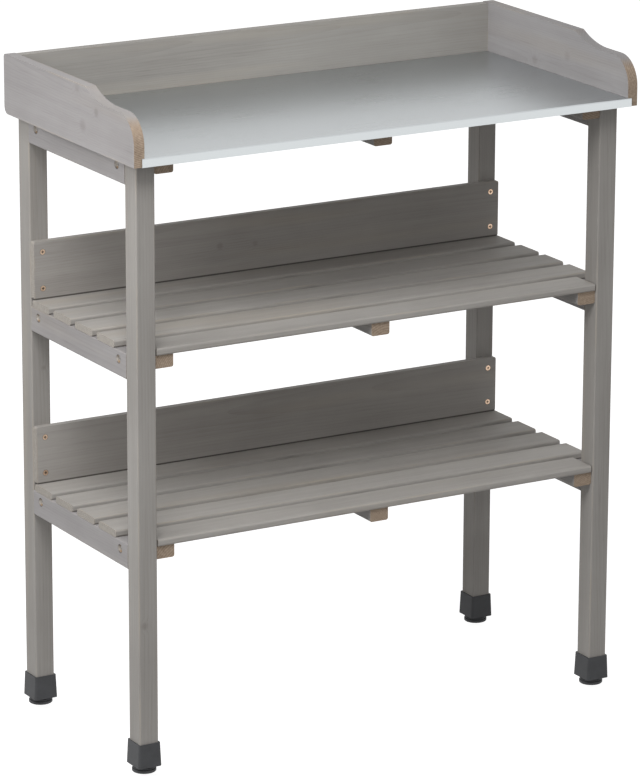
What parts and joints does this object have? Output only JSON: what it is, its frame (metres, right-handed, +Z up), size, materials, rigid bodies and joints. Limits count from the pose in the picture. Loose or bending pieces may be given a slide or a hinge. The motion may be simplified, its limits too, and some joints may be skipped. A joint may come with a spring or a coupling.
{
  "type": "potting bench",
  "caption": "Wooden potting bench with a sheet-metal worktop between shaped side boards, slatted shelves with low backboards, and screw-adjustable levelling feet.",
  "frame": {"origin": "on the floor under the centre of the bench's bounding box", "axes": "+Z up, -Y towards the front (the lipped edge of the worktop), +X to the right seen from the front"},
  "size_m": [0.774, 0.379, 0.9225],
  "materials": {
    "frame_wood": "grey-stained softwood, matt, fine grain",
    "slat_wood": "grey-stained softwood slats, matt, eased edges",
    "board_wood": "grey-stained softwood boards, matt",
    "batten_wood": "grey-stained softwood with raw brown end grain",
    "panel_wood": "unstained softwood board, hidden",
    "dowel_wood": "beech dowel, hidden",
    "zinc_sheet": "galvanised sheet, satin, blue-grey",
    "black_plastic": "dark grey moulded plastic",
    "screw_steel": "zinc-plated steel",
    "screw_brass": "yellow-passivated, dulled"
  },
  "bodies": {
    "frame": {"leg_front_left": "frame_wood", "leg_front_right": "frame_wood", "leg_back_left": "frame_wood", "leg_back_right": "frame_wood", "top_rail_left": "frame_wood", "top_rail_right": "frame_wood", "upper_rail_left": "frame_wood", "upper_rail_right": "frame_wood", "lower_rail_left": "frame_wood", "lower_rail_right": "frame_wood", "top_batten_left": "batten_wood", "top_batten_centre": "batten_wood", "top_batten_right": "batten_wood", "upper_batten_left": "batten_wood", "upper_batten_centre": "batten_wood", "upper_batten_right": "batten_wood", "lower_batten_left": "batten_wood", "lower_batten_centre": "batten_wood", "lower_batten_right": "batten_wood", "upper_slat_1": "slat_wood", "upper_slat_2": "slat_wood", "upper_slat_3": "slat_wood", "upper_slat_4": "slat_wood", "upper_slat_5": "slat_wood", "lower_slat_1": "slat_wood", "lower_slat_2": "slat_wood", "lower_slat_3": "slat_wood", "lower_slat_4": "slat_wood", "lower_slat_5": "slat_wood", "upper_backboard": "board_wood", "lower_backboard": "board_wood", "worktop_panel": "panel_wood", "zinc_tray": "zinc_sheet", "side_board_left": "board_wood", "side_board_right": "board_wood", "back_board": "board_wood", "cap_front_left": "black_plastic", "cap_front_right": "black_plastic", "cap_back_left": "black_plastic", "cap_back_right": "black_plastic", "cap_nuts": "screw_steel", "rail_screws": "screw_steel", "backboard_screws": "screw_brass", "batten_screws": "screw_steel", "rail_dowels": "dowel_wood", "board_dowels": "dowel_wood"},
    "foot_front_left": {"pad_front_left": "black_plastic"},
    "screw_front_left": {"stem_front_left": "screw_steel", "wheel_front_left": "black_plastic"},
    "foot_front_right": {"pad_front_right": "black_plastic"},
    "screw_front_right": {"stem_front_right": "screw_steel", "wheel_front_right": "black_plastic"},
    "foot_back_left": {"pad_back_left": "black_plastic"},
    "screw_back_left": {"stem_back_left": "screw_steel", "wheel_back_left": "black_plastic"},
    "foot_back_right": {"pad_back_right": "black_plastic"},
    "screw_back_right": {"stem_back_right": "screw_steel", "wheel_back_right": "black_plastic"}
  },
  "joints": [
    {"name": "front_left_travel", "type": "slide", "parent": "frame", "child": "foot_front_left", "axis": [0, 0, -1], "range_m": [-0.0018, 0.01]},
    {"name": "front_left_turn", "type": "hinge", "parent": "foot_front_left", "child": "screw_front_left", "pos_m": [-0.358, -0.1465, 0.02], "axis": [0, 0, -1], "range_deg": [-519, 2880]},
    {"name": "front_right_travel", "type": "slide", "parent": "frame", "child": "foot_front_right", "axis": [0, 0, -1], "range_m": [-0.0018, 0.01]},
    {"name": "front_right_turn", "type": "hinge", "parent": "foot_front_right", "child": "screw_front_right", "pos_m": [0.358, -0.1465, 0.02], "axis": [0, 0, -1], "range_deg": [-519, 2880]},
    {"name": "back_left_travel", "type": "slide", "parent": "frame", "child": "foot_back_left", "axis": [0, 0, -1], "range_m": [-0.0018, 0.01]},
    {"name": "back_left_turn", "type": "hinge", "parent": "foot_back_left", "child": "screw_back_left", "pos_m": [-0.358, 0.1635, 0.02], "axis": [0, 0, -1], "range_deg": [-519, 2880]},
    {"name": "back_right_travel", "type": "slide", "parent": "frame", "child": "foot_back_right", "axis": [0, 0, -1], "range_m": [-0.0018, 0.01]},
    {"name": "back_right_turn", "type": "hinge", "parent": "foot_back_right", "child": "screw_back_right", "pos_m": [0.358, 0.1635, 0.02], "axis": [0, 0, -1], "range_deg": [-519, 2880]}
  ],
  "couplings": [
    {"joint": "front_left_turn", "follows": "front_left_travel", "rad_per_m": 5026.5},
    {"joint": "front_right_turn", "follows": "front_right_travel", "rad_per_m": 5026.5},
    {"joint": "back_left_turn", "follows": "back_left_travel", "rad_per_m": 5026.5},
    {"joint": "back_right_turn", "follows": "back_right_travel", "rad_per_m": 5026.5}
  ]
}
